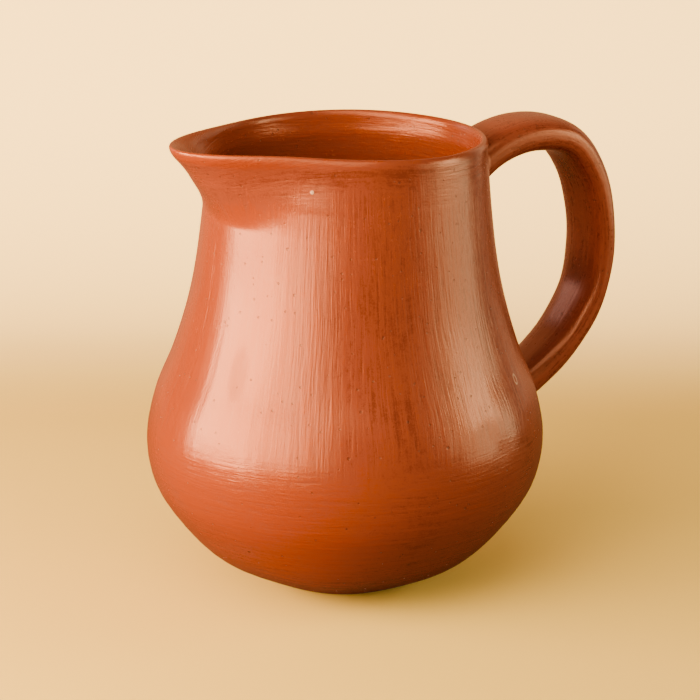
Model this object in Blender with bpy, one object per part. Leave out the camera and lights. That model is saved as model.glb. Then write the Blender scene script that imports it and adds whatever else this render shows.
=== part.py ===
"""Hand-built ceramic pitcher: a round-bellied jug with a pulled spout and a strap handle.

Units are metres and +Z is up. The origin is the centre of the resting face. The spout
points along -X and the handle stands out along +X. The jug is built up from the pieces
of clay a potter joins: a rounded bowl, the coiled wall, a rim coil with the spout, the
strap, and the clay pressed round each of the strap's two roots.
"""

import math

import bpy
import numpy as np

# Body, measured on the outside.
HEIGHT = 0.185
FOOT_RADIUS = 0.021
BELLY_RADIUS = 0.0808
BELLY_HEIGHT = 0.062
NECK_RADIUS = 0.0585
NECK_HEIGHT = 0.155
RIM_RADIUS = 0.0560
WALL = 0.0048
LIP_HEIGHT = 0.0022
LEAN = 0.0026

# The outline from the resting face to the rim, as (radius, height).
OUTLINE = [
    (FOOT_RADIUS, 0.0),
    (0.0360, 0.006),
    (0.0545, 0.016),
    (0.0680, 0.030),
    (0.0778, 0.046),
    (BELLY_RADIUS, BELLY_HEIGHT),
    (0.0781, 0.080),
    (0.0703, 0.100),
    (0.0637, 0.122),
    (NECK_RADIUS, NECK_HEIGHT),
    (RIM_RADIUS, HEIGHT),
]

# Where one piece of clay ends and the next begins, on the outside of the wall.
BELLY_SEAM = 0.057
BAND_SEAM = 0.171
SCARF_RISE = 0.003
JOINT_GAP = 0.0003

# Spout, pulled out of the rim along -X.
SPOUT_REACH = 0.0231
SPOUT_DEPTH = 0.026
SPOUT_HALF_ANGLE = 0.48
SPOUT_CURVE = 1.17
SPOUT_BLUNTNESS = 1.87
SPOUT_PINCH = 0.0017
PINCH_ANGLE = 1.04
PINCH_WIDTH = 0.45
RIM_RISE = 0.0047
RISE_HALF_ANGLE = 1.15
RIM_TILT = 0.0011

# Gentle high places along the rim: turn from +X and half width in degrees, and rise.
RIM_SWELLS = [
    (62.0, 40.0, 0.0011),
    (211.0, 20.0, 0.0009),
    (250.0, 26.0, 0.0006),
]

# Away from the spout the pull starts more gently, between these two angles.
GENTLE_START = 0.45
GENTLE_END = 0.85
GENTLE_CURVE = 0.9

# The inside of the rim is opened out a little towards the lip.
FLARE = 0.0020
FLARE_DEPTH = 0.0090

# Stations along the middle of the strap, from the neck round to the belly:
# distance from the axis, height, width and thickness.
STRAP_STATIONS = [
    (0.0500, 0.1590, 0.0290, 0.0150),
    (0.0691, 0.1742, 0.0290, 0.0150),
    (0.0871, 0.1781, 0.0295, 0.0148),
    (0.1049, 0.1738, 0.0299, 0.0140),
    (0.1164, 0.1589, 0.0298, 0.0126),
    (0.1213, 0.1411, 0.0295, 0.0114),
    (0.1220, 0.1224, 0.0287, 0.0109),
    (0.1176, 0.1045, 0.0277, 0.0113),
    (0.1073, 0.0889, 0.0263, 0.0124),
    (0.0928, 0.0765, 0.0247, 0.0141),
    (0.0720, 0.0655, 0.0240, 0.0150),
]
STRAP_SQUARENESS = 2.8

# Clay pressed round the strap's roots: where it starts and how far it reaches from each
# end of the strap's line, its depth at the body and its depth where it runs out.
ROOT_DEPTH = 0.002
UPPER_LUTING_REACH = 0.025
LOWER_LUTING_REACH = 0.023
LUTING_DEPTH = 0.0045
LUTING_EDGE = 0.0009

# Facets.
TURN_STEPS = 64
STRAP_STEPS = 34
LUTING_STEPS = 8
STRAP_SIDES = 20
LIP_STEPS = 5
RING_SPACING = 0.0085
FINE_STEPS = 400

CLAY_RED = (0.440, 0.078, 0.020, 1.0)
CLAY_ORANGE = (0.490, 0.105, 0.028, 1.0)
CLAY_DARK = (0.330, 0.060, 0.020, 1.0)


def clear_scene():
    for item in list(bpy.data.objects):
        bpy.data.objects.remove(item, do_unlink=True)


def line_lengths(points):
    """Distance along a line of points, measured in its first two coordinates."""
    steps = np.linalg.norm(np.diff(points[:, :2], axis=0), axis=1)
    return np.concatenate([[0.0], np.cumsum(steps)])


def curve_tangents(points, knots):
    """Tangents of a smooth curve through the points, from the parabola through each three."""
    steps = np.diff(knots)[:, None]
    slopes = np.diff(points, axis=0) / steps
    inner = (slopes[:-1] * steps[1:] + slopes[1:] * steps[:-1]) / (steps[:-1] + steps[1:])
    first = 2.0 * slopes[0] - inner[0]
    last = 2.0 * slopes[-1] - inner[-1]
    return np.vstack([first, inner, last])


def smooth_curve(points, count):
    """Evenly spaced points, and unit tangents, of a smooth curve through the given points."""
    points = np.array(points, dtype=float)
    knots = line_lengths(points)
    tangents = curve_tangents(points, knots)
    where = np.linspace(0.0, knots[-1], count)
    span = np.clip(np.searchsorted(knots, where, side="right") - 1, 0, len(knots) - 2)
    width = np.diff(knots)[span][:, None]
    u = (where - knots[span])[:, None] / width
    line = (
        (2 * u**3 - 3 * u**2 + 1) * points[span]
        + (u**3 - 2 * u**2 + u) * width * tangents[span]
        + (3 * u**2 - 2 * u**3) * points[span + 1]
        + (u**3 - u**2) * width * tangents[span + 1]
    )
    along = np.gradient(line[:, :2], axis=0)
    return line, along / np.linalg.norm(along, axis=1)[:, None]


OUTSIDE, OUTSIDE_ALONG = smooth_curve(OUTLINE, FINE_STEPS)
OUTWARD = np.stack([OUTSIDE_ALONG[:, 1], -OUTSIDE_ALONG[:, 0]], axis=1)
INSIDE = OUTSIDE - WALL * OUTWARD
INSIDE[:, 0] += FLARE * np.clip((INSIDE[:, 1] - HEIGHT + FLARE_DEPTH) / FLARE_DEPTH, 0.0, 1.0)
FLOOR_HEIGHT = INSIDE[0, 1]


def radius_at(line, height):
    return float(np.interp(height, line[:, 1], line[:, 0]))


def wall_side(line, low, high):
    """One side of the wall's section between two heights, going up, in even steps."""
    lengths = line_lengths(line)
    start = np.interp(low, line[:, 1], lengths)
    end = np.interp(high, line[:, 1], lengths)
    steps = max(2, math.ceil((end - start) / RING_SPACING))
    where = np.linspace(start, end, steps + 1)
    radii = np.interp(where, lengths, line[:, 0])
    heights = np.interp(where, lengths, line[:, 1])
    return [(float(radius), float(height)) for radius, height in zip(radii, heights)]


def pull_curve(away):
    """How gently the pull of the spout starts, by angle away from the spout."""
    share = min(1.0, max(0.0, (away - GENTLE_START) / (GENTLE_END - GENTLE_START)))
    return SPOUT_CURVE + GENTLE_CURVE * share * share * (3.0 - 2.0 * share)


def rim_rise(turn, away):
    """How far the rim stands above its level height."""
    rise = RIM_RISE * math.exp(-((away / RISE_HALF_ANGLE) ** 2)) - RIM_TILT * math.sin(turn)
    for middle, half_width, height in RIM_SWELLS:
        gap = math.remainder(turn - math.radians(middle), math.tau)
        rise += height * math.exp(-((gap / math.radians(half_width)) ** 2))
    return rise


def spout_point(radius, height, turn):
    """A point of the body after the spout is pulled and the rim has settled."""
    away = abs(math.remainder(turn - math.pi, math.tau))
    pulled = min(1.0, max(0.0, (height - (HEIGHT - SPOUT_DEPTH)) / SPOUT_DEPTH))
    reach = SPOUT_REACH * math.exp(-((away / SPOUT_HALF_ANGLE) ** SPOUT_BLUNTNESS))
    pinch = SPOUT_PINCH * math.exp(-(((away - PINCH_ANGLE) / PINCH_WIDTH) ** 2))
    if radius > 0.0:
        radius += (reach - pinch) * pulled ** pull_curve(away)
    return (
        radius * math.cos(turn) + LEAN * height / HEIGHT,
        radius * math.sin(turn),
        height + rim_rise(turn, away) * pulled,
    )


def turned_mesh(name, section, closed):
    """Turn a section round the axis: a closed section, or one that ends on the axis twice."""
    verts = []
    faces = []
    rings = []
    for radius, height in section:
        if radius == 0.0:
            rings.append([len(verts)] * TURN_STEPS)
            verts.append(spout_point(radius, height, 0.0))
            continue
        start = len(verts)
        rings.append(list(range(start, start + TURN_STEPS)))
        for step in range(TURN_STEPS):
            verts.append(spout_point(radius, height, math.tau * step / TURN_STEPS))
    pairs = list(zip(rings, rings[1:] + rings[:1]))
    for low, high in pairs if closed else pairs[:-1]:
        for step in range(TURN_STEPS):
            after = (step + 1) % TURN_STEPS
            corners = [low[step], low[after], high[after], high[step]]
            faces.append(list(dict.fromkeys(corners)))
    return new_mesh(name, verts, faces)


def new_mesh(name, verts, faces):
    mesh = bpy.data.meshes.new(name)
    mesh.from_pydata(verts, [], faces)
    mesh.validate()
    mesh.shade_smooth()
    mesh.set_sharp_from_angle(angle=math.radians(40.0))
    return mesh


def new_object(name, mesh, material=None):
    item = bpy.data.objects.new(name, mesh)
    bpy.context.collection.objects.link(item)
    if material is not None:
        mesh.materials.append(material)
    return item


def clay(name, colour, roughness):
    """Unglazed clay, burnished with a stone and fired."""
    material = bpy.data.materials.new(name)
    material.use_nodes = True
    shader = material.node_tree.nodes["Principled BSDF"]
    shader.inputs["Base Color"].default_value = colour
    shader.inputs["Roughness"].default_value = roughness
    shader.inputs["Metallic"].default_value = 0.0
    material.diffuse_color = colour
    material.roughness = roughness
    return material


def bowl_clay():
    return clay("bowl_clay", CLAY_ORANGE, 0.36)


def wall_clay():
    return clay("wall_clay", CLAY_RED, 0.34)


def rim_clay():
    return clay("rim_clay", CLAY_RED, 0.38)


def strap_clay():
    return clay("strap_clay", CLAY_DARK, 0.36)


def luting_clay(name):
    return clay(name, CLAY_DARK, 0.42)


def lower_bowl():
    outer = wall_side(OUTSIDE, 0.0, BELLY_SEAM)
    inner = wall_side(INSIDE, FLOOR_HEIGHT, BELLY_SEAM + SCARF_RISE)
    section = [(0.0, 0.0)] + outer + inner[::-1] + [(0.0, FLOOR_HEIGHT)]
    return new_object("lower_bowl", turned_mesh("lower_bowl", section, False), bowl_clay())


def upper_wall():
    low = BELLY_SEAM + JOINT_GAP
    outer = wall_side(OUTSIDE, low, BAND_SEAM)
    inner = wall_side(INSIDE, low + SCARF_RISE, BAND_SEAM + SCARF_RISE)
    section = outer + inner[::-1]
    return new_object("upper_wall", turned_mesh("upper_wall", section, True), wall_clay())


def lip_section(top):
    """The rounded lip between the outside and the inside of the rim, going inwards."""
    middle = (radius_at(OUTSIDE, top) + radius_at(INSIDE, top)) / 2.0
    half = (radius_at(OUTSIDE, top) - radius_at(INSIDE, top)) / 2.0
    points = []
    for step in range(1, LIP_STEPS):
        turn = math.pi * step / LIP_STEPS
        points.append((middle + half * math.cos(turn), top + LIP_HEIGHT * math.sin(turn)))
    return points


def rim_band():
    low = BAND_SEAM + JOINT_GAP
    top = HEIGHT - LIP_HEIGHT
    outer = wall_side(OUTSIDE, low, top)
    inner = wall_side(INSIDE, low + SCARF_RISE, top)
    section = outer + lip_section(top) + inner[::-1]
    return new_object("rim_band", turned_mesh("rim_band", section, True), rim_clay())


def strap_sections(start, end, count):
    """Middle, inward normal, width and thickness of the strap between two distances along it."""
    line, along = smooth_curve(STRAP_STATIONS, FINE_STEPS)
    length = line_lengths(line)
    where = np.linspace(start, end, count)
    middle = np.stack([np.interp(where, length, line[:, axis]) for axis in range(2)], axis=1)
    along = np.stack([np.interp(where, length, along[:, axis]) for axis in range(2)], axis=1)
    along /= np.linalg.norm(along, axis=1)[:, None]
    normal = np.stack([along[:, 1], -along[:, 0]], axis=1)
    return middle, normal, np.interp(where, length, line[:, 2]), np.interp(where, length, line[:, 3])


def strap_length():
    return line_lengths(smooth_curve(STRAP_STATIONS, FINE_STEPS)[0])[-1]


def swept_mesh(name, start, end, count, extra):
    """The strap between two distances along it, made thicker all round by extra(share)."""
    middle, normal, width, thickness = strap_sections(start, end, count)
    verts = []
    faces = []
    for index in range(count):
        more = extra(index / (count - 1))
        for side in range(STRAP_SIDES):
            turn = math.tau * side / STRAP_SIDES
            across = squared(math.cos(turn)) * (width[index] / 2.0 + more)
            out = squared(math.sin(turn)) * (thickness[index] / 2.0 + more)
            x = middle[index, 0] + normal[index, 0] * out
            z = middle[index, 1] + normal[index, 1] * out
            verts.append((x, across, z))
    for ring in range(count - 1):
        for side in range(STRAP_SIDES):
            after = (side + 1) % STRAP_SIDES
            low = ring * STRAP_SIDES
            high = low + STRAP_SIDES
            faces.append((low + side, high + side, high + after, low + after))
    faces.append(tuple(range(STRAP_SIDES)))
    faces.append(tuple(reversed(range((count - 1) * STRAP_SIDES, count * STRAP_SIDES))))
    return new_mesh(name, verts, faces)


def squared(share):
    """Push a circle's coordinate out towards a rounded rectangle's."""
    return math.copysign(abs(share) ** (2.0 / STRAP_SQUARENESS), share)


def body_cutter():
    """The filled body, one joint gap larger, carried up past the rim."""
    above = HEIGHT + SPOUT_DEPTH
    wall = wall_side(OUTSIDE, BELLY_SEAM / 2.0, HEIGHT)
    side = [(radius + JOINT_GAP, height) for radius, height in wall]
    side.append((RIM_RADIUS + JOINT_GAP, above))
    section = [(0.0, side[0][1])] + side + [(0.0, above)]
    return new_cutter("body_cutter", turned_mesh("body_cutter", section, False))


def strap_cutter():
    """The strap, one joint gap thicker all round."""
    mesh = swept_mesh("strap_cutter", 0.0, strap_length(), STRAP_STEPS, gap_only)
    return new_cutter("strap_cutter", mesh)


def gap_only(share):
    return JOINT_GAP


def new_cutter(name, mesh):
    item = new_object(name, mesh)
    item.hide_render = True
    item.display_type = "WIRE"
    return item


def cut(item, cutter):
    modifier = item.modifiers.new("cut_" + cutter.name, "BOOLEAN")
    modifier.operation = "DIFFERENCE"
    modifier.solver = "EXACT"
    modifier.object = cutter


def handle_strap(body):
    mesh = swept_mesh("handle_strap", 0.0, strap_length(), STRAP_STEPS, no_extra)
    item = new_object("handle_strap", mesh, strap_clay())
    cut(item, body)
    return item


def no_extra(share):
    return 0.0


def luting(name, start, end, extra, body, strap):
    """Clay pressed into the corner all round one root of the strap."""
    mesh = swept_mesh(name, start, end, LUTING_STEPS, extra)
    item = new_object(name, mesh, luting_clay(name + "_clay"))
    cut(item, body)
    cut(item, strap)
    return item


def fading(share):
    return LUTING_EDGE + (LUTING_DEPTH - LUTING_EDGE) * (1.0 - share) ** 2


def growing(share):
    return fading(1.0 - share)


def main():
    clear_scene()
    lower_bowl()
    upper_wall()
    rim_band()
    body = body_cutter()
    strap = strap_cutter()
    handle_strap(body)
    end = strap_length()
    luting("upper_handle_luting", ROOT_DEPTH, UPPER_LUTING_REACH, fading, body, strap)
    low = end - LOWER_LUTING_REACH
    luting("lower_handle_luting", low, end - ROOT_DEPTH, growing, body, strap)


main()
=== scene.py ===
"""Looks of the hand-built ceramic pitcher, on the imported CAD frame.

The body is one smooth surface, cut where the CAD cuts it, so that the fired clay shows no
seams. The strap and the clay pressed round its roots grow out of it. All lengths are metres.
"""

import math

import bpy
import numpy as np
from mathutils import Matrix, Vector

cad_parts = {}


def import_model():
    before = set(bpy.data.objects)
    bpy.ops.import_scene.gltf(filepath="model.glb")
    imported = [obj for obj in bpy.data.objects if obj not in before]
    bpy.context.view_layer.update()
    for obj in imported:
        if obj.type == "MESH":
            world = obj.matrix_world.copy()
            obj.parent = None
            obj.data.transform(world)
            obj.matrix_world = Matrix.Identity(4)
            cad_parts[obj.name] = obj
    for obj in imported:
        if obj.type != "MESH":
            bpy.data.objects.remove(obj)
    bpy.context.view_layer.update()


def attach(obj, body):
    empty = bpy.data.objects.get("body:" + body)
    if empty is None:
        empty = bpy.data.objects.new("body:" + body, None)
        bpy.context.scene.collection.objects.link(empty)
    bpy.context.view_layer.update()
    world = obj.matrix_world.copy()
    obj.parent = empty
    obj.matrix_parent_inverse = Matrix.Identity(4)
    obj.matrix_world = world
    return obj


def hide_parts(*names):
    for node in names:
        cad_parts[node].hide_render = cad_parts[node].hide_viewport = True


# ---------------------------------------------------------------- body
# The CAD's body with softer details: an eased outline, a spout that starts over a few
# millimetres of wall, is gentler at the front and thicker inside, a rounder lip with a slight
# hollow under it, and one lower swell of the rim.
HEIGHT = 0.185
WALL = 0.0048
LIP_HEIGHT = 0.0034
LEAN = 0.0026
OUTLINE = [
    (0.0210, 0.000),
    (0.0360, 0.006),
    (0.0545, 0.016),
    (0.0680, 0.030),
    (0.0778, 0.046),
    (0.0808, 0.062),
    (0.0781, 0.080),
    (0.0703, 0.100),
    (0.0637, 0.122),
    (0.0585, 0.155),
    (0.0560, 0.185),
]
BELLY_SEAM = 0.057
BAND_SEAM = 0.171
SCARF_RISE = 0.003
# Samples of the outline, to each side, over which its corners are softened.
EASE_REACH = 24

SPOUT_REACH = 0.0231
SPOUT_DEPTH = 0.026
SPOUT_HALF_ANGLE = 0.48
SPOUT_CURVE = 1.17
SPOUT_BLUNTNESS = 1.87
SPOUT_PINCH = 0.0017
PINCH_ANGLE = 1.04
PINCH_WIDTH = 0.45
RIM_RISE = 0.0047
RISE_HALF_ANGLE = 1.15
RIM_TILT = 0.0011
# Swells of the rim: degrees round the body, half width in degrees, height.
RIM_SWELLS = [
    (62.0, 40.0, 0.0011),
    (211.0, 20.0, 0.0007),
    (250.0, 26.0, 0.0006),
]
GENTLE_START = 0.45
FRONT_GENTLE_START = 0.20
GENTLE_END = 0.85
GENTLE_CURVE = 0.9
PULL_SOFTNESS = 0.006
FLARE = 0.0020
FLARE_DEPTH = 0.0090
SPOUT_THICKENING = 0.0022
THICKENING_ANGLE = 0.95
BEAD_HOLLOW = 0.0005
BEAD_ANGLE = 0.95
BEAD_DROP = 0.0085
BEAD_SPREAD = 0.0032

# ---------------------------------------------------------------- strap
# Its stations, as in the CAD: distance out, height, width, thickness.
STRAP_STATIONS = [
    (0.0500, 0.1590, 0.0290, 0.0150),
    (0.0691, 0.1742, 0.0290, 0.0150),
    (0.0871, 0.1781, 0.0295, 0.0148),
    (0.1049, 0.1738, 0.0299, 0.0140),
    (0.1164, 0.1589, 0.0298, 0.0126),
    (0.1213, 0.1411, 0.0295, 0.0114),
    (0.1220, 0.1224, 0.0287, 0.0109),
    (0.1176, 0.1045, 0.0277, 0.0113),
    (0.1073, 0.0889, 0.0263, 0.0124),
    (0.0928, 0.0765, 0.0247, 0.0141),
    (0.0720, 0.0655, 0.0240, 0.0150),
]
STRAP_SQUARENESS = 2.8
ROOT_SINK = 0.0018
FILLET_ON_BODY = 0.0034
FILLET_ON_STRAP = 0.0062
FILLET_SINK = 0.00006
FILLET_CORE = 0.0016
# How far each ring of the core is on the way from the body, 0, to the strap, 1.
CORE_SHARES = [1.0, 0.5, 0.3, 0.0]
SLOPE_STEP = 0.001
FLOW_RADIUS = 0.012
CROSSING_SAMPLES = 900
CREASE_ANGLE = math.radians(35)

# ---------------------------------------------------------------- hand work
HAND_SEED = 11
UNEVENNESS = 0.00020
FACET_DEPTH = 0.000010
STROKE_DEPTH = 0.000012
LEVEL_STROKE_GAIN = 1.6
# Level strokes also run inwards under the base: their height counts this much radius.
CLIMB = 0.8
# Waves: how many, times round the body from and to, shortest and longest up the wall.
UNEVEN_WAVES = (14, (2, 6), (0.06, 0.22))
FACET_WAVES = (60, (34, 96), (0.05, 0.30))
STROKE_WAVES = (60, (1, 9), (0.0030, 0.0100))
# Heights between which the relief changes from level strokes to upright facets, and back.
FACETS_START = (0.054, 0.066)
FACETS_END = (0.160, 0.170)
STRAP_SEED = 5
STRAP_UNEVENNESS = 0.00018
STRAP_WAVES = 10
STRAP_WAVE_LENGTHS = (0.022, 0.070)
# The middles of the strap's two roots. The body's hand work fades in between two distances
# from them and between two heights above the foot, and fades out just below the lip.
ROOTS = ((0.0605, 0.170), (0.0800, 0.0705))
ROOT_FADE = (0.024, 0.045)
FOOT_FADE = (0.0, 0.012)
LIP_FADE = (HEIGHT - 0.006, HEIGHT - 0.001)
# Dents: degrees round the body, height, half width, half height, depth.
DENTS = [
    (285.5, 0.0790, 0.0045, 0.0070, 0.00030),
    (290.0, 0.0705, 0.0055, 0.0060, 0.00034),
    (203.0, 0.1060, 0.0052, 0.0110, 0.00030),
    (262.0, 0.1250, 0.0090, 0.0200, 0.00022),
]

# ---------------------------------------------------------------- mesh steps
TURN_STEPS = 512
OUTER_STEP = 0.0011
INNER_RIM_STEP = OUTER_STEP * 1.5
INNER_STEP = 0.0028
LIP_STEPS = 16
STRAP_STEPS = 230
STRAP_SIDES = 96
FILLET_STEPS = 12
FINE_STEPS = 1600


def line_lengths(points):
    steps = np.linalg.norm(np.diff(points[:, :2], axis=0), axis=1)
    return np.concatenate([[0.0], np.cumsum(steps)])


def smooth_curve(points, count):
    """Evenly spaced points, and unit tangents, of the same smooth curve as in the CAD."""
    points = np.array(points, dtype=float)
    knots = line_lengths(points)
    steps = np.diff(knots)[:, None]
    slopes = np.diff(points, axis=0) / steps
    inner = (slopes[:-1] * steps[1:] + slopes[1:] * steps[:-1]) / (steps[:-1] + steps[1:])
    tangents = np.vstack([2.0 * slopes[0] - inner[0], inner, 2.0 * slopes[-1] - inner[-1]])
    where = np.linspace(0.0, knots[-1], count)
    span = np.clip(np.searchsorted(knots, where, side="right") - 1, 0, len(steps) - 1)
    width = steps[span]
    u = (where - knots[span])[:, None] / width
    line = (
        (2 * u**3 - 3 * u**2 + 1) * points[span]
        + (u**3 - 2 * u**2 + u) * width * tangents[span]
        + (3 * u**2 - 2 * u**3) * points[span + 1]
        + (u**3 - u**2) * width * tangents[span + 1]
    )
    along = np.gradient(line[:, :2], axis=0)
    return line, along / np.linalg.norm(along, axis=1)[:, None]


def eased(line):
    """The outline with its corners softened a little, as a stone leaves them."""
    reach = EASE_REACH
    window = np.hanning(2 * reach + 1)
    window /= window.sum()
    out = line.copy()
    for axis in range(2):
        padded = np.concatenate([
            2 * line[0, axis] - line[reach:0:-1, axis],
            line[:, axis],
            2 * line[-1, axis] - line[-2:-reach - 2:-1, axis],
        ])
        out[:, axis] = np.convolve(padded, window, mode="valid")
    return out


OUTSIDE = eased(smooth_curve(OUTLINE, FINE_STEPS)[0])
OUTSIDE_ALONG = np.gradient(OUTSIDE, axis=0)
OUTSIDE_ALONG /= np.linalg.norm(OUTSIDE_ALONG, axis=1)[:, None]
INSIDE = OUTSIDE - WALL * np.stack([OUTSIDE_ALONG[:, 1], -OUTSIDE_ALONG[:, 0]], axis=1)
INSIDE[:, 0] += FLARE * np.clip((INSIDE[:, 1] - HEIGHT + FLARE_DEPTH) / FLARE_DEPTH, 0.0, 1.0)
FLOOR_HEIGHT = INSIDE[0, 1]


def outer_radius(height):
    return np.interp(height, OUTSIDE[:, 1], OUTSIDE[:, 0])


def side_rows(line, low, high, step):
    """Points of one side of the wall between two heights, going up, in even steps."""
    lengths = line_lengths(line)
    start = np.interp(low, line[:, 1], lengths)
    end = np.interp(high, line[:, 1], lengths)
    where = np.linspace(start, end, max(3, int(round((end - start) / step))) + 1)
    return np.stack([np.interp(where, lengths, line[:, k]) for k in range(2)], axis=1)


def lip_rows(top):
    outer = outer_radius(top)
    inner = np.interp(top, INSIDE[:, 1], INSIDE[:, 0])
    turn = np.linspace(0.0, math.pi, LIP_STEPS + 1)[1:-1]
    radius = (outer + inner) / 2 + (outer - inner) / 2 * np.cos(turn)
    return np.stack([radius, top + LIP_HEIGHT * np.sin(turn)], axis=1)


def waves(rng, turn, height, count, around, lengths):
    """Smooth random waves that close on themselves round the body, about one unit high."""
    total = np.zeros(np.broadcast(turn, height).shape)
    for _ in range(count):
        times = rng.integers(around[0], around[1] + 1)
        length = rng.uniform(*lengths)
        sign = rng.choice([-1.0, 1.0])
        total += np.cos(times * turn + sign * math.tau * height / length + rng.uniform(0, math.tau))
    return total / math.sqrt(count / 2)


def smooth_step(low, high, value):
    share = np.clip((value - low) / (high - low), 0.0, 1.0)
    return share * share * (3 - 2 * share)


def angle_gap(turn, middle):
    """The angle from the middle to the turn, the short way round."""
    return (turn - middle + math.pi) % math.tau - math.pi


def body_points(radius, height, turn, inner):
    """Points of the body after the spout is pulled and the rim has settled."""
    away = np.abs(angle_gap(turn, math.pi))
    pulled = np.clip((height - (HEIGHT - SPOUT_DEPTH)) / SPOUT_DEPTH, 0.0, 1.0)
    # The pull starts over a few millimetres of wall, not at a crease.
    soft = 0.5 * (pulled + np.sqrt(pulled**2 + PULL_SOFTNESS))
    soft = soft - 0.5 * math.sqrt(PULL_SOFTNESS) * (1 - pulled)
    start = np.where(np.sin(turn) < 0.0, FRONT_GENTLE_START, GENTLE_START)
    curve = SPOUT_CURVE + GENTLE_CURVE * smooth_step(start, GENTLE_END, away)
    pull = np.where(pulled > 0, soft, 0.0) ** curve
    reach = SPOUT_REACH * np.exp(-((away / SPOUT_HALF_ANGLE) ** SPOUT_BLUNTNESS))
    pinch = SPOUT_PINCH * np.exp(-(((away - PINCH_ANGLE) / PINCH_WIDTH) ** 2))
    thicker = inner * SPOUT_THICKENING * np.exp(-((away / THICKENING_ANGLE) ** 2))
    # The lip is rolled out a little: a shallow hollow runs under it near the spout.
    hollow = np.exp(-(((height - HEIGHT + BEAD_DROP) / BEAD_SPREAD) ** 2)) * (1 - inner)
    hollow *= BEAD_HOLLOW * np.exp(-((away / BEAD_ANGLE) ** 2))
    rise = RIM_RISE * np.exp(-((away / RISE_HALF_ANGLE) ** 2)) - RIM_TILT * np.sin(turn)
    for middle, half_width, swell in RIM_SWELLS:
        gap = angle_gap(turn, math.radians(middle))
        rise = rise + swell * np.exp(-((gap / math.radians(half_width)) ** 2))
    wide = radius + (reach - pinch) * pull - thicker * pulled - hollow
    out = np.where(radius > 1e-6, wide, 0.0)
    return np.stack([
        out * np.cos(turn) + LEAN * height / HEIGHT,
        out * np.sin(turn),
        height + rise * pulled,
    ], axis=-1)


def grid_normals(points):
    """Unit normals of a grid that closes round the body."""
    around = np.roll(points, -1, axis=1) - np.roll(points, 1, axis=1)
    along = np.gradient(points, axis=0)
    normal = np.cross(around, along)
    size = np.linalg.norm(normal, axis=2, keepdims=True)
    return normal / np.maximum(size, 1e-15)


def near_roots(points):
    """One away from the strap's roots, none where the pressed clay meets the body."""
    mask = np.ones(points.shape[:2])
    for x, z in ROOTS:
        gap = np.sqrt(((points - np.array([x, 0.0, z])) ** 2).sum(axis=2))
        mask *= smooth_step(*ROOT_FADE, gap)
    return mask


def hand_work(points, radius, height, turn, outside):
    """How far the hand-worked surface stands from the ideal one, at each grid point."""
    rng = np.random.default_rng(HAND_SEED)
    vertical = smooth_step(*FACETS_START, height) * (1 - smooth_step(*FACETS_END, height))
    uneven = UNEVENNESS * waves(rng, turn, height, *UNEVEN_WAVES)
    facets = FACET_DEPTH * waves(rng, turn, height, *FACET_WAVES)
    strokes = STROKE_DEPTH * waves(rng, turn, height + CLIMB * radius, *STROKE_WAVES)
    depth = uneven + facets * vertical + LEVEL_STROKE_GAIN * strokes * (1 - vertical)
    for degrees, level, half_width, half_height, deep in DENTS:
        gap = angle_gap(turn, math.radians(degrees))
        spread = (gap * radius / half_width) ** 2 + ((height - level) / half_height) ** 2
        depth = depth - deep * np.exp(-spread) * outside
    fade = smooth_step(*FOOT_FADE, height) * (1 - smooth_step(*LIP_FADE, height))
    return (depth - UNEVENNESS) * fade * near_roots(points)


def body_grid():
    """Positions, normals and the rows where the pieces meet, from foot to lip to floor."""
    top = HEIGHT - LIP_HEIGHT
    parts = [
        side_rows(OUTSIDE, 0.0, BELLY_SEAM, OUTER_STEP),
        side_rows(OUTSIDE, BELLY_SEAM, BAND_SEAM, OUTER_STEP)[1:],
        side_rows(OUTSIDE, BAND_SEAM, top, OUTER_STEP)[1:],
        lip_rows(top),
        side_rows(INSIDE, BAND_SEAM + SCARF_RISE, top, INNER_RIM_STEP)[::-1],
        side_rows(INSIDE, BELLY_SEAM + SCARF_RISE, BAND_SEAM + SCARF_RISE, INNER_STEP)[::-1][1:],
        side_rows(INSIDE, FLOOR_HEIGHT, BELLY_SEAM + SCARF_RISE, INNER_STEP)[::-1][1:],
    ]
    counts = np.cumsum([len(part) for part in parts])
    rows = np.vstack(parts)
    turn = np.linspace(0.0, math.tau, TURN_STEPS, endpoint=False)[None, :]
    radius = np.repeat(rows[:, :1], TURN_STEPS, axis=1)
    height = np.repeat(rows[:, 1:], TURN_STEPS, axis=1)
    turn = np.repeat(turn, len(rows), axis=0)
    inner = np.zeros(len(rows))
    inner[counts[3]:] = 1.0
    lip = np.arange(counts[2] - 1, counts[3] + 1)
    inner[lip] = np.linspace(0.0, 1.0, len(lip))
    inner = inner[:, None]
    points = body_points(radius, height, turn, inner)
    normals = grid_normals(points)
    depth = hand_work(points, radius, height, turn, 1 - inner)
    points = points + normals * depth[..., None]
    marks = {
        "belly_out": counts[0] - 1,
        "band_out": counts[1] - 1,
        "band_in": counts[3] + len(parts[4]) - 1,
        "belly_in": counts[4] + len(parts[5]) - 1,
    }
    marks["inner"] = np.repeat(inner, TURN_STEPS, axis=1)
    return points, grid_normals(points), marks


def new_mesh(name, verts, faces, normals=None, sharp=None):
    mesh = bpy.data.meshes.new(name)
    mesh.from_pydata([tuple(v) for v in verts], [], [tuple(f) for f in faces])
    mesh.validate()
    mesh.shade_smooth()
    if normals is not None:
        mesh.normals_split_custom_set_from_vertices([tuple(n) for n in normals])
    elif sharp is not None:
        mesh.set_sharp_from_angle(angle=sharp)
    return mesh


def new_piece(name, mesh, material, slot, *nodes):
    item = bpy.data.objects.new(name, mesh)
    bpy.context.scene.collection.objects.link(item)
    mesh.materials.append(material)
    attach(item, "root")
    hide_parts(*nodes)
    return item


def band_faces(low, high, count):
    """Quads between two rings of vertices, given by their first numbers."""
    step = np.arange(count)
    after = (step + 1) % count
    return np.stack([low + step, low + after, high + after, high + step], axis=1)


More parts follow.
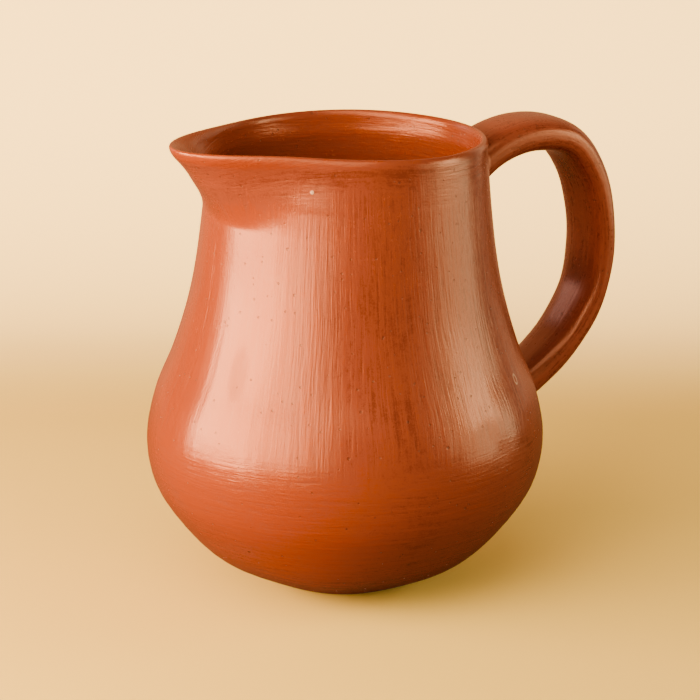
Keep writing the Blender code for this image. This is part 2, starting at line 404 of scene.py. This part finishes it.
def tube_faces(rows, count):
    """Quads between each row of vertices and the next one."""
    bands = [band_faces(k * count, (k + 1) * count, count) for k in range(rows - 1)]
    return np.vstack(bands)


def ring_piece(name, grid, normals, inner, row_sets, closed):
    """A closed piece of the body from whole rows of the grid, in order round its section."""
    rows = np.concatenate(row_sets)
    share = inner[rows].ravel()
    verts = grid[rows].reshape(-1, 3)
    normal = normals[rows].reshape(-1, 3)
    faces = tube_faces(len(rows), TURN_STEPS).tolist()
    last = (len(rows) - 1) * TURN_STEPS
    if closed:
        faces += band_faces(last, 0, TURN_STEPS).tolist()
    else:
        low_middle = len(verts)
        high_middle = low_middle + 1
        middles = [[0.0, 0.0, grid[row, 0, 2]] for row in (rows[0], rows[-1])]
        verts = np.vstack([verts, middles])
        normal = np.vstack([normal, [[0, 0, -1.0]], [[0, 0, 1.0]]])
        share = np.concatenate([share, [0.0, 1.0]])
        for step in range(TURN_STEPS):
            after = (step + 1) % TURN_STEPS
            faces.append([after, step, low_middle])
            faces.append([last + step, last + after, high_middle])
    mesh = new_mesh(name, verts, faces, normals=normal)
    attribute = mesh.attributes.new("inner", "FLOAT", "POINT")
    attribute.data.foreach_set("value", share.astype(np.float32))
    return mesh


def squared(share):
    return np.sign(share) * np.abs(share) ** (2.0 / STRAP_SQUARENESS)


class Strap:
    """The strap's surface, by distance along it and turn round its section."""

    def __init__(self):
        line, along = smooth_curve(STRAP_STATIONS, FINE_STEPS)
        self.lengths = line_lengths(line)
        self.line = line
        self.along = along
        self.total = self.lengths[-1]
        rng = np.random.default_rng(STRAP_SEED)
        self.phases = rng.uniform(0, math.tau, (STRAP_WAVES, 2))
        self.waves = rng.uniform(*STRAP_WAVE_LENGTHS, STRAP_WAVES)

    def points(self, where, turn, extra=0.0):
        middle = [np.interp(where, self.lengths, self.line[:, k]) for k in range(4)]
        tangent = [np.interp(where, self.lengths, self.along[:, k]) for k in range(2)]
        size = np.hypot(*tangent)
        normal_x, normal_z = tangent[1] / size, -tangent[0] / size
        uneven = np.zeros(np.broadcast(where, turn).shape)
        for k, length in enumerate(self.waves):
            uneven += np.cos(math.tau * where / length + self.phases[k, 0] + (k % 3) * turn)
        uneven *= STRAP_UNEVENNESS / math.sqrt(STRAP_WAVES / 2)
        across = squared(np.cos(turn)) * (middle[2] / 2 + extra)
        out = squared(np.sin(turn)) * (middle[3] / 2 + extra + uneven - STRAP_UNEVENNESS)
        return np.stack([
            middle[0] + normal_x * out,
            across + 0 * out,
            middle[1] + normal_z * out,
        ], axis=-1)


def body_gap(points):
    """How far points stand out from the body, measured away from its axis."""
    x = points[..., 0] - LEAN * points[..., 2] / HEIGHT
    return np.hypot(x, points[..., 1]) - outer_radius(points[..., 2])


def on_body(points, sink):
    """Points moved straight towards or from the axis on to the body, sunk by a little."""
    x = points[..., 0] - LEAN * points[..., 2] / HEIGHT
    now = np.hypot(x, points[..., 1])
    want = outer_radius(points[..., 2]) - sink
    return np.stack([
        x * want / now + LEAN * points[..., 2] / HEIGHT,
        points[..., 1] * want / now,
        points[..., 2],
    ], axis=-1)


def crossing(strap, turn, upper, level):
    """For each turn, the distance along the strap at which it meets the body."""
    where = np.linspace(0.0, strap.total, CROSSING_SAMPLES)
    if not upper:
        where = where[::-1]
    gap = body_gap(strap.points(where[:, None], turn[None, :])) - level
    found = []
    for side in range(len(turn)):
        column = gap[:, side]
        first = np.nonzero(column[:CROSSING_SAMPLES // 2] < 0)[0][-1]
        share = column[first] / (column[first] - column[first + 1])
        found.append(where[first] + share * (where[first + 1] - where[first]))
    return np.array(found)


def set_flow(mesh, values):
    attribute = mesh.attributes.new("flow", "FLOAT_VECTOR", "POINT")
    attribute.data.foreach_set("vector", np.asarray(values, np.float32).ravel())


def strap_flow(where, turn):
    """Coordinates that run along the strap, so that the burnish follows it."""
    across, out = FLOW_RADIUS * np.cos(turn), FLOW_RADIUS * np.sin(turn)
    return np.stack([across, out, where + 0 * turn], axis=-1)


def strap_mesh(strap, turn):
    start = crossing(strap, turn, True, -ROOT_SINK)
    end = crossing(strap, turn, False, -ROOT_SINK)
    share = np.linspace(0.0, 1.0, STRAP_STEPS)[:, None]
    where = start[None, :] * (1 - share) + end[None, :] * share
    turns = np.repeat(turn[None, :], STRAP_STEPS, axis=0)
    verts = strap.points(where, turns).reshape(-1, 3)
    flow = strap_flow(where, turns).reshape(-1, 3)
    faces = tube_faces(STRAP_STEPS, STRAP_SIDES)[:, ::-1].tolist()
    last = (STRAP_STEPS - 1) * STRAP_SIDES
    middles = [verts[:STRAP_SIDES].mean(axis=0), verts[last:].mean(axis=0)]
    verts = np.vstack([verts, middles])
    flow = np.vstack([flow, flow[:1], flow[-1:]])
    for side in range(STRAP_SIDES):
        after = (side + 1) % STRAP_SIDES
        faces.append([side, after, last + STRAP_SIDES])
        faces.append([last + after, last + side, last + STRAP_SIDES + 1])
    mesh = new_mesh("strap", verts, faces, sharp=CREASE_ANGLE)
    set_flow(mesh, flow)
    return mesh


def fillet_mesh(name, strap, turn, upper):
    """A ring of clay pressed into the corner between one root of the strap and the body."""
    sign = 1.0 if upper else -1.0
    meet = crossing(strap, turn, upper, 0.0)
    corner = strap.points(meet, turn)
    middle = corner.mean(axis=0)
    outward = corner - middle
    normal = corner - np.array([0.0, 0.0, 1.0]) * corner[:, 2:]
    normal[:, 0] -= LEAN
    above = outer_radius(corner[:, 2] + SLOPE_STEP)
    slope = (above - outer_radius(corner[:, 2] - SLOPE_STEP)) / (2 * SLOPE_STEP)
    normal /= np.linalg.norm(normal, axis=1)[:, None]
    normal[:, 2] = -slope
    normal /= np.linalg.norm(normal, axis=1)[:, None]
    outward -= normal * (outward * normal).sum(axis=1)[:, None]
    outward /= np.linalg.norm(outward, axis=1)[:, None]
    foot = on_body(corner + outward * FILLET_ON_BODY, FILLET_SINK)
    reach = meet + sign * FILLET_ON_STRAP
    crest = strap.points(reach, turn, extra=-FILLET_SINK)
    share = np.linspace(0.0, 1.0, FILLET_STEPS + 1)[:, None, None]
    face = (1 - share) ** 2 * foot + 2 * share * (1 - share) * corner + share**2 * crest
    core = [
        strap.points(reach, turn, extra=-FILLET_CORE),
        strap.points(meet, turn, extra=-FILLET_CORE),
        on_body(corner, FILLET_CORE),
        on_body(foot, FILLET_CORE),
    ]
    rings = np.concatenate([face, np.stack(core)])
    count = len(rings)
    faces = np.vstack([
        tube_faces(count, STRAP_SIDES),
        band_faces((count - 1) * STRAP_SIDES, 0, STRAP_SIDES),
    ])
    if upper:
        faces = faces[:, ::-1]
    mesh = new_mesh(name, rings.reshape(-1, 3), faces.tolist(), sharp=CREASE_ANGLE)
    far = np.concatenate([np.linspace(0.0, 1.0, FILLET_STEPS + 1), CORE_SHARES])
    where = meet[None, :] + sign * FILLET_ON_STRAP * (2 * far[:, None] - 1)
    turns = np.repeat(turn[None, :], count, axis=0)
    set_flow(mesh, strap_flow(where, turns))
    return mesh


# ---------------------------------------------------------------- clay
class Nodes:
    """Short ways to write a shader's nodes."""

    def __init__(self, tree):
        self.tree = tree

    def new(self, kind, **settings):
        node = self.tree.nodes.new(kind)
        for key, value in settings.items():
            setattr(node, key, value)
        return node

    def put(self, value, socket):
        if isinstance(value, bpy.types.NodeSocket):
            self.tree.links.new(value, socket)
        else:
            socket.default_value = value

    def math(self, operation, first, second=0.0):
        node = self.new("ShaderNodeMath", operation=operation)
        for value, socket in zip((first, second), node.inputs):
            self.put(value, socket)
        return node.outputs[0]

    def total(self, first, *others):
        for other in others:
            first = self.math("ADD", first, other)
        return first

    def product(self, first, *others):
        for other in others:
            first = self.math("MULTIPLY", first, other)
        return first

    def around(self, pattern, amount):
        """A pattern of numbers from 0 to 1, centred on 0 and scaled."""
        return self.product(self.math("SUBTRACT", pattern, 0.5), amount)

    def split(self, vector):
        node = self.new("ShaderNodeSeparateXYZ")
        self.put(vector, node.inputs[0])
        return node.outputs

    def vector(self, x, y, z):
        node = self.new("ShaderNodeCombineXYZ")
        for value, socket in zip((x, y, z), node.inputs):
            self.put(value, socket)
        return node.outputs[0]

    def noise(self, vector, scale, detail=2.0, roughness=0.5, distortion=0.0):
        node = self.new("ShaderNodeTexNoise")
        node.inputs["Scale"].default_value = scale
        node.inputs["Detail"].default_value = detail
        node.inputs["Roughness"].default_value = roughness
        node.inputs["Distortion"].default_value = distortion
        self.put(vector, node.inputs["Vector"])
        return node.outputs["Fac"]

    def step(self, value, low, high, to_low=0.0, to_high=1.0):
        node = self.new("ShaderNodeMapRange", interpolation_type="SMOOTHSTEP")
        for item, socket in zip((value, low, high, to_low, to_high), node.inputs):
            self.put(item, socket)
        return node.outputs["Result"]

    def mix(self, share, first, second):
        node = self.new("ShaderNodeMix", data_type="RGBA", blend_type="MIX")
        self.put(share, node.inputs[0])
        self.put(first, node.inputs[6])
        self.put(second, node.inputs[7])
        return node.outputs[2]

    def blend(self, share, first, second):
        """A mix of two numbers."""
        node = self.new("ShaderNodeMix", data_type="FLOAT")
        self.put(share, node.inputs[0])
        self.put(first, node.inputs[2])
        self.put(second, node.inputs[3])
        return node.outputs[0]

    def cells(self, vector, scale, size, share):
        """Small round grains in a share of the cells of a lattice: none outside them."""
        node = self.new("ShaderNodeTexVoronoi", feature="F1")
        node.inputs["Scale"].default_value = scale
        self.put(vector, node.inputs["Vector"])
        near = self.step(node.outputs["Distance"], size * CELL_CORE, size, 1.0, 0.0)
        split = self.new("ShaderNodeSeparateColor")
        self.put(node.outputs["Color"], split.inputs[0])
        chosen = self.step(split.outputs[0], share, share + CELL_SOFTNESS, 1.0, 0.0)
        return self.math("MULTIPLY", near, chosen)


DARK = (0.150, 0.030, 0.014, 1.0)
MIDDLE = (0.232, 0.050, 0.023, 1.0)
ORANGE = (0.258, 0.041, 0.006, 1.0)
PALE = (0.520, 0.240, 0.140, 1.0)
PIT = (0.060, 0.014, 0.008, 1.0)
LIME = (0.700, 0.500, 0.380, 1.0)
SHEEN = (1.0, 0.40, 0.22, 1.0)

# Noise patterns: scale, detail, roughness and distortion.
SWAY_NOISE = (26.0, 2.0)
WANDER_NOISE = (60.0, 3.0)
PATCH_NOISE = (11.0, 2.0, 0.5, 0.3)
MOTTLE_NOISE = (60.0, 3.0, 0.60, 0.4)
FINE_NOISE = (420.0, 3.0, 0.65, 0.2)
GRAIN_NOISE = (1500.0, 2.0, 0.6)
LEVEL_STREAKS = (900.0, 3.0, 0.65)
LEVEL_BROAD = (330.0, 2.0, 0.5)
UPWARD_STREAKS = (1150.0, 2.0, 0.6)
UPWARD_BROAD = (460.0, 2.0, 0.5)
STRAP_STREAKS = (850.0, 3.0, 0.6)
STRAP_BROAD = (220.0, 2.0, 0.5)
# Grains and pits: cells to a metre, size within a cell, share of the cells.
PALE_GRAINS = (330.0, 0.15, 0.10)
PITS = (330.0, 0.17, 0.26)
POCKS = (130.0, 0.10, 0.16)
CELL_CORE = 0.6
CELL_SOFTNESS = 0.02

# How strongly each pattern shows in the clay's tone, gloss and relief.
PATCH_TONE = 0.60
MOTTLE_TONE = 0.42
FINE_TONE = 0.46
STREAK_TONE = 0.85
BROAD_TONE = 0.26
GRAIN_TONE = 0.55
DARK_TONES = (-0.34, 0.02)
ORANGE_TONES = (0.0, 0.46)
PALE_SHARE = 0.35
PIT_SHARE = 0.75
MARK_SHARE = 0.8
STREAK_ROUGH = 0.14
MOTTLE_ROUGH = 0.12
FINE_ROUGH = 0.10
PIT_ROUGH = 0.08
GRAIN_RELIEF = 0.85
BROAD_RELIEF = 0.8
FINE_RELIEF = 1.3
PIT_RELIEF = -2.2
LUMP_RELIEF = 3.0
RELIEF_DEPTH = 0.00004
CLAY_SETTINGS = {
    "Metallic": 0.0,
    "IOR": 1.52,
    "Specular IOR Level": 1.0,
    "Specular Tint": SHEEN,
    "Coat Weight": 0.15,
    "Coat Roughness": 0.16,
}

# Strokes: the circle that turns are measured on, how far the strokes sway, how much they are
# drawn out along the stroke, and the smallest radius at which a turn is still told.
RIM_RADIUS = 0.056
SWAY = 0.0022
UPWARD_STRETCH = 0.05
LEVEL_STRETCH = 0.08
STRAP_STRETCH = 0.06
LEAST_RADIUS = 0.004

# Heights between which the clay's strokes turn upward and back, and how far these wander.
UPWARD_START = (0.064, 0.081)
UPWARD_END = (0.164, 0.181)
WANDER = 0.030
# Painted light on the side towards the window and on the inside: from and to, along X, and
# how much more orange that side and the inside are painted.
PAINTED_LIGHT_SIDE = (-0.015, -0.075)
PAINTED_LIGHT_TONE = 0.42
INSIDE_PAINTED_LIGHT = 0.24
# Painted shade under the lip, most under the spout: from and to along X, its lower edge at the
# two, how softly it starts, where it ends at the lip, and from and to along X for its tone.
LIP_SHADE_SIDE = (-0.080, -0.020)
LIP_SHADE_EDGE = (0.155, 0.170)
LIP_SHADE_SOFTNESS = 0.014
LIP_SHADE_TOP = (0.1835, 0.1865)
LIP_SHADE_FADE = (-0.090, 0.030)
LIP_SHADE_TONE = (0.50, 0.12)
# Roughness of the level and of the upward strokes, and what is added near the top.
LEVEL_GLOSS = 0.205
UPWARD_GLOSS = 0.22
UPPER_WALL = (0.125, 0.160)
UPPER_MATTE = 0.035
# Ridge heights: level strokes, the polished clay beside the spout, other upward strokes.
LEVEL_RIDGES = 4.8
POLISHED_RIDGES = 1.2
UPWARD_RIDGES = 4.4
POLISHED_TURN = (math.radians(-149.0), math.radians(-136.0))

# Marks on the outside: degrees round the body, height, reach round the body, reach up.
DIMPLE = (-157.6, 0.1045, 0.0050, 0.0115)
DIMPLE_EDGE = (0.55, 1.15)
DIMPLE_MATTE = 0.17
SPECK = (-132.8, 0.1763, 0.0008, 0.0008)
SPECK_EDGE = (0.7, 1.2)
RING = (-52.2, 0.0933, 0.0013, 0.0020)
RING_INSIDE = (0.62, 0.80)
RING_OUTSIDE = (1.0, 1.2)
RING_MARK = 0.6
RING_LUMP = 0.5

STRAP_GLOSS = 0.29
STRAP_RIDGES = 3.0
# Painted shade: how much darker the strap and the clay pressed round its roots are painted.
STRAP_PAINTED_SHADE = 0.07
LUTING_PAINTED_SHADE = 0.05
# Painted shade in the strap's hollow: how far round its section, how far along it, and how much
# darker it is.
BEND_SHADE_ACROSS = (0.0, 0.009)
BEND_SHADE_ALONG = (0.112, 0.140)
BEND_SHADE_TONE = 0.36


def body_flow(n, position, x, y, z):
    """Coordinates for strokes up the wall and for strokes round the body."""
    radius = n.math("SQRT", n.total(n.product(x, x), n.product(y, y)))
    safe = n.math("MAXIMUM", radius, LEAST_RADIUS)
    round_x = n.product(n.math("DIVIDE", x, safe), RIM_RADIUS)
    round_y = n.product(n.math("DIVIDE", y, safe), RIM_RADIUS)
    sway = n.around(n.noise(position, *SWAY_NOISE), SWAY)
    upward = n.vector(n.total(round_x, sway), round_y, n.product(z, UPWARD_STRETCH))
    climb = n.total(z, n.product(radius, CLIMB), sway)
    level = n.vector(n.product(round_x, LEVEL_STRETCH), n.product(round_y, LEVEL_STRETCH), climb)
    return upward, level


def finish_clay(material, n, position, streak, broad, gloss, tone_shift, mark, lump, ridges):
    """Colour, gloss and relief of the burnished clay from its stroke patterns."""
    shader = material.node_tree.nodes["Principled BSDF"]
    patch = n.noise(position, *PATCH_NOISE)
    mottle = n.noise(position, *MOTTLE_NOISE)
    fine = n.noise(position, *FINE_NOISE)
    grain = n.noise(position, *GRAIN_NOISE)
    pits = n.math("MAXIMUM", n.cells(position, *PITS), n.cells(position, *POCKS))
    tone = n.total(
        n.around(patch, PATCH_TONE),
        n.around(mottle, MOTTLE_TONE),
        n.around(fine, FINE_TONE),
        n.around(streak, STREAK_TONE),
        n.around(broad, BROAD_TONE),
        n.around(grain, GRAIN_TONE),
        tone_shift,
    )
    darker = n.step(tone, *DARK_TONES)
    lighter = n.step(tone, *ORANGE_TONES)
    colour = n.mix(lighter, n.mix(darker, DARK, MIDDLE), ORANGE)
    pale = n.cells(position, *PALE_GRAINS)
    colour = n.mix(n.product(pale, PALE_SHARE), colour, PALE)
    colour = n.mix(n.product(pits, PIT_SHARE), colour, PIT)
    colour = n.mix(n.product(mark, MARK_SHARE), colour, LIME)
    n.put(colour, shader.inputs["Base Color"])
    rough = n.total(
        gloss,
        n.around(streak, STREAK_ROUGH),
        n.around(mottle, MOTTLE_ROUGH),
        n.around(fine, FINE_ROUGH),
        n.product(pits, PIT_ROUGH),
    )
    n.put(rough, shader.inputs["Roughness"])
    relief = n.total(
        n.product(streak, ridges),
        n.product(grain, GRAIN_RELIEF),
        n.product(broad, ridges, BROAD_RELIEF),
        n.product(fine, FINE_RELIEF),
        n.product(pits, PIT_RELIEF),
        n.product(lump, LUMP_RELIEF),
    )
    bump = n.new("ShaderNodeBump")
    bump.inputs["Strength"].default_value = 1.0
    bump.inputs["Distance"].default_value = RELIEF_DEPTH
    n.put(relief, bump.inputs["Height"])
    n.put(bump.outputs[0], shader.inputs["Normal"])
    for setting, value in CLAY_SETTINGS.items():
        shader.inputs[setting].default_value = value


def new_material(name):
    material = bpy.data.materials.new(name)
    material.use_nodes = True
    return material, Nodes(material.node_tree)


def near_mark(n, turn, z, degrees, level, round_reach, up_reach):
    """Distance from a mark on the outside, one at the edge of its oval."""
    away = n.math("SUBTRACT", turn, math.radians(degrees))
    gap = n.product(away, outer_radius(level) / round_reach)
    rise = n.math("DIVIDE", n.math("SUBTRACT", z, level), up_reach)
    return n.math("SQRT", n.total(n.product(gap, gap), n.product(rise, rise)))


def lip_shade_tone(n, x, z, height):
    """How much painted shade darkens the clay under the lip, most under the spout."""
    edge = n.step(x, *LIP_SHADE_SIDE, *LIP_SHADE_EDGE)
    above = n.step(n.math("SUBTRACT", height, edge), 0.0, LIP_SHADE_SOFTNESS)
    below_lip = n.step(z, *LIP_SHADE_TOP, 1.0, 0.0)
    return n.product(above, below_lip, n.step(x, *LIP_SHADE_FADE, *LIP_SHADE_TONE))


def body_clay():
    material, n = new_material("burnished_body_clay")
    position = n.new("ShaderNodeTexCoord").outputs["Object"]
    x, y, z = n.split(position)
    turn = n.math("ARCTAN2", y, x)
    upward, level = body_flow(n, position, x, y, z)
    inner = n.new("ShaderNodeAttribute", attribute_name="inner").outputs["Fac"]
    outer = n.math("SUBTRACT", 1.0, inner)
    height = n.total(z, n.around(n.noise(position, *WANDER_NOISE), WANDER))
    low = n.step(height, *UPWARD_START)
    high = n.step(height, *UPWARD_END, 1.0, 0.0)
    vertical = n.product(low, high, outer)
    streak = n.blend(vertical, n.noise(level, *LEVEL_STREAKS), n.noise(upward, *UPWARD_STREAKS))
    broad = n.blend(vertical, n.noise(level, *LEVEL_BROAD), n.noise(upward, *UPWARD_BROAD))

    # Painted light: the side towards the window and the inside are painted lighter and more orange.
    painted_light = n.product(n.step(x, *PAINTED_LIGHT_SIDE), outer, PAINTED_LIGHT_TONE)
    # Painted shade: the clay under the lip and the spout is painted darker.
    lip_shade = n.product(lip_shade_tone(n, x, z, height), outer)
    tone = n.total(n.math("SUBTRACT", painted_light, lip_shade), n.product(inner, INSIDE_PAINTED_LIGHT))
    matte = n.step(near_mark(n, turn, z, *DIMPLE), *DIMPLE_EDGE, 1.0, 0.0)
    gloss = n.total(
        n.blend(vertical, LEVEL_GLOSS, UPWARD_GLOSS),
        n.step(z, *UPPER_WALL, 0.0, UPPER_MATTE),
        n.product(matte, outer, DIMPLE_MATTE),
    )
    # The stone left fine ridges up the wall, except where it was polished beside the spout.
    polished = n.step(turn, *POLISHED_TURN)
    ridges = n.blend(vertical, LEVEL_RIDGES, n.blend(polished, POLISHED_RIDGES, UPWARD_RIDGES))

    speck = n.step(near_mark(n, turn, z, *SPECK), *SPECK_EDGE, 1.0, 0.0)
    ring = near_mark(n, turn, z, *RING)
    band = n.product(n.step(ring, *RING_INSIDE), n.step(ring, *RING_OUTSIDE, 1.0, 0.0))
    mark = n.product(n.math("MAXIMUM", speck, n.product(band, RING_MARK)), outer)
    lump = n.product(n.math("MAXIMUM", speck, n.product(band, RING_LUMP)), outer)
    finish_clay(material, n, position, streak, broad, gloss, tone, mark, lump, ridges)
    return material


def strap_clay(name, painted_shade):
    material, n = new_material(name)
    position = n.new("ShaderNodeTexCoord").outputs["Object"]
    x, y, z = n.split(n.new("ShaderNodeAttribute", attribute_name="flow").outputs["Vector"])
    along = n.vector(x, y, n.product(z, STRAP_STRETCH))
    streak = n.noise(along, *STRAP_STREAKS)
    broad = n.noise(along, *STRAP_BROAD)
    # Painted shade in the hollow under the lower bend.
    hollow = n.product(n.step(y, *BEND_SHADE_ACROSS), n.step(z, *BEND_SHADE_ALONG), BEND_SHADE_TONE)
    tone = n.math("SUBTRACT", -painted_shade, hollow)
    finish_clay(material, n, position, streak, broad, STRAP_GLOSS, tone, 0.0, 0.0, STRAP_RIDGES)
    return material


# ---------------------------------------------------------------- studio
CAMERA_AZIMUTH = -31.0
CAMERA_ELEVATION = 16.64
CAMERA_DISTANCE = 1.2165
CAMERA_LENS = 154.3
CAMERA_SENSOR = 36.0
CAMERA_CLIP = (0.05, 20.0)
CAMERA_ROLL = -0.26
LOOK_SIDE = 0.0030
LOOK_HEIGHT = 0.0977

WINDOW_COLOUR = (1.0, 0.66, 0.36)
REFLECTOR_COLOUR = (1.0, 0.85, 0.48)
SKY_COLOUR = (1.0, 0.72, 0.42)
REAR_COLOUR = (1.0, 0.72, 0.62)
# Upright soft lights: degrees round from the camera, lowest and highest point, degrees wide,
# distance, radiance, colour.
PANELS = {
    "window_foot": (-73.0, 0.03, 0.09, 46.0, 0.66, 20.0, WINDOW_COLOUR),
    "window": (-73.0, 0.09, 0.42, 46.0, 0.66, 25.0, WINDOW_COLOUR),
    "window_edge": (-38.0, 0.09, 0.42, 24.0, 0.66, 14.0, WINDOW_COLOUR),
    "window_fade": (-18.0, 0.11, 0.42, 16.0, 0.66, 5.0, WINDOW_COLOUR),
    "window_top": (-36.0, 0.43, 0.72, 50.0, 0.66, 7.0, WINDOW_COLOUR),
    "reflector": (86.0, 0.17, 0.42, 24.0, 0.62, 8.2, REFLECTOR_COLOUR),
    "reflector_foot": (90.0, 0.01, 0.18, 40.0, 0.62, 3.3, REFLECTOR_COLOUR),
    "reflector_edge": (63.0, 0.10, 0.38, 16.0, 0.62, 2.0, REFLECTOR_COLOUR),
    "reflector_side": (140.0, 0.02, 0.50, 30.0, 0.70, 0.8, SKY_COLOUR),
}
# Square soft lights above: degrees round from the camera, degrees up, distance, size,
# radiance, colour.
SKIES = {
    "sky": (-10.0, 55.0, 1.25, 0.9, 3.4, SKY_COLOUR),
    "rear_window": (-125.0, 28.0, 0.80, 0.26, 2.4, REAR_COLOUR),
}

# The floor: half its width behind the jug and in front of it, how far it runs each way, where
# it starts to bend up, the bend's radius and steps, and how high the backdrop is.
HALF_BACKDROP = 0.55
HALF_FRONT = 3.0
FLOOR_FRONT = -3.0
FLOOR_NEAR = -0.5
BEND_START = 0.34
BEND_RADIUS = 0.22
BEND_STEPS = 24
BACKDROP_HEIGHT = 1.0
# Its colour and glow, first as the jug meets them, darker as painted shade round the jug, and then
# as the camera does.
FLOOR_COLOURS = ((0.16, 0.085, 0.04, 1.0), (0.95, 0.70, 0.16, 1.0))
GLOW_COLOURS = ((1.0, 0.44, 0.22, 1.0), (1.0, 0.60, 0.19, 1.0))
GLOW_SHARES = (0.20, 1.0)
GLOW_START = 0.20
GLOW_STRENGTH = 3.0
FLOOR_ROUGHNESS = 0.9
FLOOR_SHINE = 0.1

WORLD_COLOUR = (1.0, 0.80, 0.55, 1.0)
WORLD_STRENGTH = 0.10


def direction(azimuth, elevation):
    """Out from the object: azimuth 0 is towards -Y and 90 towards +X, in degrees."""
    a, e = math.radians(azimuth), math.radians(elevation)
    return Vector((math.sin(a) * math.cos(e), -math.cos(a) * math.cos(e), math.sin(e)))


def add_camera():
    data = bpy.data.cameras.new("camera")
    data.lens = CAMERA_LENS
    data.sensor_width = CAMERA_SENSOR
    data.clip_start, data.clip_end = CAMERA_CLIP
    camera = bpy.data.objects.new("camera", data)
    bpy.context.scene.collection.objects.link(camera)
    a = math.radians(CAMERA_AZIMUTH)
    target = Vector((LOOK_SIDE * math.cos(a), LOOK_SIDE * math.sin(a), LOOK_HEIGHT))
    back = direction(CAMERA_AZIMUTH, CAMERA_ELEVATION)
    camera.location = target + back * CAMERA_DISTANCE
    turn = (-back).to_track_quat("-Z", "Y").to_matrix()
    roll = Matrix.Rotation(math.radians(CAMERA_ROLL), 3, "Z")
    camera.rotation_euler = (turn @ roll).to_euler()
    bpy.context.scene.camera = camera


def add_light(name, place, out, width, height, radiance, colour):
    """A soft light that shines against the direction out."""
    data = bpy.data.lights.new(name, "AREA")
    data.shape = "RECTANGLE"
    data.size = width
    data.size_y = height
    data.energy = radiance * math.pi * width * height
    data.color = colour
    light = bpy.data.objects.new(name, data)
    bpy.context.scene.collection.objects.link(light)
    light.location = place
    light.rotation_euler = (-out).to_track_quat("-Z", "Y").to_euler()


def add_lights():
    for name, (azimuth, low, high, spread, distance, radiance, colour) in PANELS.items():
        width = 2 * distance * math.tan(math.radians(spread / 2))
        out = direction(CAMERA_AZIMUTH + azimuth, 0.0)
        place = out * distance + Vector((0.0, 0.0, (low + high) / 2))
        add_light(name, place, out, width, high - low, radiance, colour)
    for name, (azimuth, elevation, distance, size, radiance, colour) in SKIES.items():
        out = direction(CAMERA_AZIMUTH + azimuth, elevation)
        add_light(name, out * distance, out, size, size, radiance, colour)


def add_floor():
    """A pale floor that sweeps up into a backdrop behind the jug, which glows more towards the back
    as painted light.
    """
    profile = [(FLOOR_FRONT, 0.0), (FLOOR_NEAR, 0.0), (BEND_START, 0.0)]
    for step in range(1, BEND_STEPS + 1):
        turn = math.pi / 2 * step / BEND_STEPS
        run = BEND_START + BEND_RADIUS * math.sin(turn)
        profile.append((run, BEND_RADIUS - BEND_RADIUS * math.cos(turn)))
    back = BEND_START + BEND_RADIUS
    profile.append((back, BACKDROP_HEIGHT))
    verts = []
    for run, rise in profile:
        half = HALF_BACKDROP if run > 0 else HALF_FRONT
        verts += [(-half, run, rise), (half, run, rise)]
    faces = [(2 * k, 2 * k + 1, 2 * k + 3, 2 * k + 2) for k in range(len(profile) - 1)]
    mesh = bpy.data.meshes.new("floor")
    mesh.from_pydata(verts, [], faces)
    mesh.shade_smooth()
    floor = bpy.data.objects.new("floor", mesh)
    bpy.context.scene.collection.objects.link(floor)
    floor.rotation_euler[2] = math.radians(CAMERA_AZIMUTH)
    material, n = new_material("pale_floor")
    shader = material.node_tree.nodes["Principled BSDF"]
    seen = n.new("ShaderNodeLightPath").outputs["Is Camera Ray"]
    n.put(n.mix(seen, *FLOOR_COLOURS), shader.inputs["Base Color"])
    shader.inputs["Roughness"].default_value = FLOOR_ROUGHNESS
    shader.inputs["Specular IOR Level"].default_value = FLOOR_SHINE
    run = n.split(n.new("ShaderNodeTexCoord").outputs["Object"])[1]
    glow = n.step(run, GLOW_START, back, 0.0, GLOW_STRENGTH)
    glow = n.product(glow, n.blend(seen, *GLOW_SHARES))
    n.put(n.mix(seen, *GLOW_COLOURS), shader.inputs["Emission Color"])
    n.put(glow, shader.inputs["Emission Strength"])
    mesh.materials.append(material)


def add_world():
    world = bpy.data.worlds.new("studio")
    world.use_nodes = True
    back = world.node_tree.nodes["Background"]
    back.inputs["Color"].default_value = WORLD_COLOUR
    back.inputs["Strength"].default_value = WORLD_STRENGTH
    bpy.context.scene.world = world


def main():
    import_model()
    grid, normals, marks = body_grid()
    last = len(grid)
    inner = marks["inner"]
    belly_out, band_out = marks["belly_out"], marks["band_out"]
    band_in, belly_in = marks["band_in"], marks["belly_in"]
    clay = body_clay()
    rows = [np.arange(0, belly_out + 1), np.arange(belly_in, last)]
    bowl = ring_piece("bowl", grid, normals, inner, rows, False)
    new_piece("bowl", bowl, clay, "bowl_clay", "lower_bowl")
    rows = [np.arange(belly_out, band_out + 1), np.arange(band_in, belly_in + 1)]
    wall = ring_piece("wall", grid, normals, inner, rows, True)
    new_piece("wall", wall, clay, "wall_clay", "upper_wall")
    rows = [np.arange(band_out, band_in + 1)]
    rim = ring_piece("rim", grid, normals, inner, rows, True)
    new_piece("rim", rim, clay, "rim_clay", "rim_band")

    strap = Strap()
    turn = np.linspace(0.0, math.tau, STRAP_SIDES, endpoint=False)
    burnished = strap_clay("burnished_strap_clay", STRAP_PAINTED_SHADE)
    new_piece("strap", strap_mesh(strap, turn), burnished, "strap_clay", "handle_strap")
    luting = strap_clay("pressed_clay", LUTING_PAINTED_SHADE)
    new_piece("upper_luting", fillet_mesh("upper_luting", strap, turn, True), luting,
              "luting_clay", "upper_handle_luting")
    new_piece("lower_luting", fillet_mesh("lower_luting", strap, turn, False), luting,
              "luting_clay", "lower_handle_luting")

    add_floor()
    add_world()
    add_camera()
    add_lights()


main()
